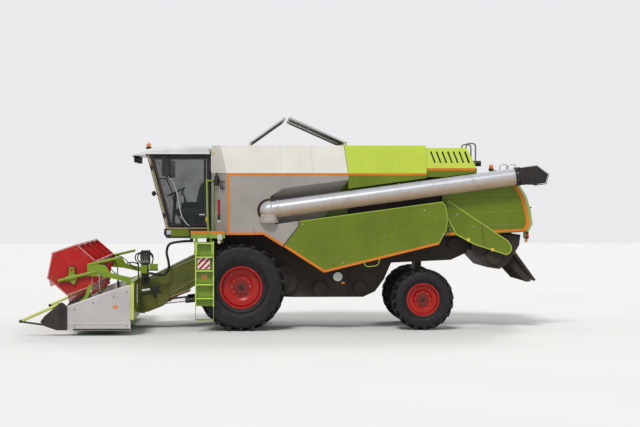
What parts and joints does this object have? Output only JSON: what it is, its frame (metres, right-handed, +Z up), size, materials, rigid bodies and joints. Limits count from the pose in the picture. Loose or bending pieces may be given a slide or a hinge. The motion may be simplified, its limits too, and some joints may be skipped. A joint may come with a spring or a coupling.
{
  "type": "combine harvester",
  "caption": "Self-propelled combine harvester with reel header, lifting feeder house, hollow cab, open grain tank and swing-out unloading auger.",
  "frame": {"origin": "on the ground, midway between the crop dividers' tips and the unloading auger's spout, on the machine's middle plane", "axes": "+X to the rear, +Y to the machine's right, +Z up"},
  "size_m": [11.0813, 5.41, 4.5623],
  "materials": {
    "dark_frame": "satin",
    "black_steel": "satin",
    "leaf_green": "gloss",
    "bright_green": "gloss",
    "panel_white": "gloss",
    "glass": "clear",
    "seat_cloth": "matt",
    "black_plastic": "matt",
    "tube_grey": "satin",
    "dark_rubber": "matt",
    "amber": "gloss",
    "bare_steel": "worn",
    "signal_red": "gloss",
    "rod_chrome": "polished",
    "tyre": "matt"
  },
  "bodies": {
    "machine": {"chassis": "dark_frame", "axles": "dark_frame", "platform": "leaf_green", "cab_shell": "black_steel", "cab_roof": "panel_white", "cab_glass": "glass", "seat": "seat_cloth", "steering_column": "black_plastic", "grain_tank": "panel_white", "engine": "black_steel", "engine_hood": "bright_green", "engine_cover": "bright_green", "exhaust": "black_steel", "straw_hood": "leaf_green", "chopper": "dark_frame", "lamps": "amber", "mirror_right": "black_plastic", "hitch": "black_steel"},
    "front_wheel_left": {"front_tyre_left": "tyre", "front_rim_left": "signal_red"},
    "front_wheel_right": {"front_tyre_right": "tyre", "front_rim_right": "signal_red"},
    "steer_left": {"knuckle_left": "dark_frame"},
    "steer_right": {"knuckle_right": "dark_frame"},
    "rear_wheel_left": {"rear_tyre_left": "tyre", "rear_rim_left": "signal_red"},
    "rear_wheel_right": {"rear_tyre_right": "tyre", "rear_rim_right": "signal_red"},
    "tie_rod": {"tie_rod": "black_steel"},
    "door": {"cab_door": "black_steel", "door_glass": "glass", "mirror_left": "black_plastic"},
    "ladder": {"ladder": "bright_green"},
    "front_cover": {"front_cover": "panel_white"},
    "rear_cover": {"rear_cover": "panel_white"},
    "panel_left": {"side_panel_left": "leaf_green"},
    "panel_right": {"side_panel_right": "leaf_green"},
    "auger": {"unloading_auger": "tube_grey", "auger_spout": "dark_rubber"},
    "header": {"feeder_house": "leaf_green", "header_frame": "leaf_green", "header_ends": "panel_white", "crop_dividers": "black_plastic", "cutter_bar": "bare_steel", "hose_coupler": "black_steel"},
    "table_auger": {"table_auger": "bare_steel"},
    "reel_arms": {"reel_arms": "leaf_green"},
    "reel_slides": {"reel_slides": "leaf_green"},
    "reel": {"reel": "signal_red"},
    "lift_barrels": {"lift_barrels": "black_steel"},
    "lift_rods": {"lift_rods": "rod_chrome"},
    "reel_barrels": {"reel_barrels": "black_steel"},
    "reel_rods": {"reel_rods": "rod_chrome"}
  },
  "joints": [
    {"name": "front_wheel_left_spin", "type": "hinge", "parent": "machine", "child": "front_wheel_left", "pos_m": [-1.02255, -1.28, 0.925], "axis": [0, 1, 0], "continuous": true},
    {"name": "rear_wheel_left_spin", "type": "hinge", "parent": "steer_left", "child": "rear_wheel_left", "pos_m": [2.85745, -1.25, 0.655], "axis": [0, 1, 0], "continuous": true},
    {"name": "front_wheel_right_spin", "type": "hinge", "parent": "machine", "child": "front_wheel_right", "pos_m": [-1.02255, 1.28, 0.925], "axis": [0, 1, 0], "continuous": true},
    {"name": "rear_wheel_right_spin", "type": "hinge", "parent": "steer_right", "child": "rear_wheel_right", "pos_m": [2.85745, 1.25, 0.655], "axis": [0, 1, 0], "continuous": true},
    {"name": "steer_left", "type": "hinge", "parent": "machine", "child": "steer_left", "pos_m": [2.85745, -0.95, 0.655], "axis": [0, 0, 1], "range_deg": [-38, 38]},
    {"name": "steer_right", "type": "hinge", "parent": "machine", "child": "steer_right", "pos_m": [2.85745, 0.95, 0.655], "axis": [0, 0, 1], "range_deg": [-38, 38]},
    {"name": "tie_rod_slide", "type": "slide", "parent": "machine", "child": "tie_rod", "axis": [0, 1, 0], "range_m": [-0.14, 0.14]},
    {"name": "door_hinge", "type": "hinge", "parent": "machine", "child": "door", "pos_m": [-2.60255, -0.952, 2.16], "axis": [0.2532, 0, -0.9674], "range_deg": [0, 70]},
    {"name": "ladder_hinge", "type": "hinge", "parent": "machine", "child": "ladder", "pos_m": [-1.99755, -1.649, 1.8], "axis": [0, 0, -1], "range_deg": [0, 160]},
    {"name": "front_cover_hinge", "type": "hinge", "parent": "machine", "child": "front_cover", "pos_m": [-0.83255, 0, 4.005], "axis": [0, -1, 0], "range_deg": [-35.5, 0]},
    {"name": "rear_cover_hinge", "type": "hinge", "parent": "machine", "child": "rear_cover", "pos_m": [1.22245, 0, 4.005], "axis": [0, 1, 0], "range_deg": [-21, 0]},
    {"name": "panel_left_hinge", "type": "hinge", "parent": "machine", "child": "panel_left", "pos_m": [1.77745, -1.44, 2.50177], "axis": [-0.9909, 0, -0.1349], "range_deg": [0, 70]},
    {"name": "panel_right_hinge", "type": "hinge", "parent": "machine", "child": "panel_right", "pos_m": [1.77745, 1.44, 2.50177], "axis": [0.9909, 0, 0.1349], "range_deg": [0, 70]},
    {"name": "auger_swing", "type": "hinge", "parent": "machine", "child": "auger", "pos_m": [-0.43255, -1.47, 2.3], "axis": [0, 0, -1], "range_deg": [0, 100]},
    {"name": "feeder_lift", "type": "hinge", "parent": "machine", "child": "header", "pos_m": [-0.87255, 0, 1.66], "axis": [0, 1, 0], "range_deg": [-1.2, 17]},
    {"name": "table_auger_spin", "type": "hinge", "parent": "header", "child": "table_auger", "pos_m": [-3.68255, 0, 0.455], "axis": [0, 1, 0], "continuous": true},
    {"name": "reel_lift", "type": "hinge", "parent": "header", "child": "reel_arms", "pos_m": [-3.34255, 0, 1.15], "axis": [0, 1, 0], "range_deg": [-12, 22]},
    {"name": "reel_slide", "type": "slide", "parent": "reel_arms", "child": "reel_slides", "axis": [0.9716, 0, 0.2368], "range_m": [-0.1, 0.16]},
    {"name": "reel_spin", "type": "hinge", "parent": "reel_slides", "child": "reel", "pos_m": [-4.50255, 0, 1.345], "axis": [0, 1, 0], "continuous": true},
    {"name": "lift_barrel_tilt", "type": "hinge", "parent": "machine", "child": "lift_barrels", "pos_m": [-1.35255, 0, 0.7], "axis": [0, 1, 0], "range_deg": [-2.05, 22.44]},
    {"name": "lift_rod_slide", "type": "slide", "parent": "lift_barrels", "child": "lift_rods", "axis": [-0.9941, 0, -0.1085], "range_m": [-0.0254, 0.2939]},
    {"name": "reel_barrel_tilt", "type": "hinge", "parent": "header", "child": "reel_barrels", "pos_m": [-3.89255, 0, 0.33], "axis": [0, 1, 0], "range_deg": [-2.45, 4.08]},
    {"name": "reel_rod_slide", "type": "slide", "parent": "reel_barrels", "child": "reel_rods", "axis": [-0.0386, 0, 0.9993], "range_m": [-0.1235, 0.2223]}
  ],
  "couplings": [
    {"joint": "steer_right", "follows": "steer_left", "ratio": 1},
    {"joint": "tie_rod_slide", "follows": "steer_left", "m_per_rad": 0.2},
    {"joint": "lift_barrel_tilt", "follows": "feeder_lift", "ratio": 1.2904},
    {"joint": "lift_rod_slide", "follows": "feeder_lift", "m_per_rad": 0.97366},
    {"joint": "reel_barrel_tilt", "follows": "reel_lift", "ratio": 0.16251},
    {"joint": "reel_rod_slide", "follows": "reel_lift", "m_per_rad": 0.56581}
  ]
}
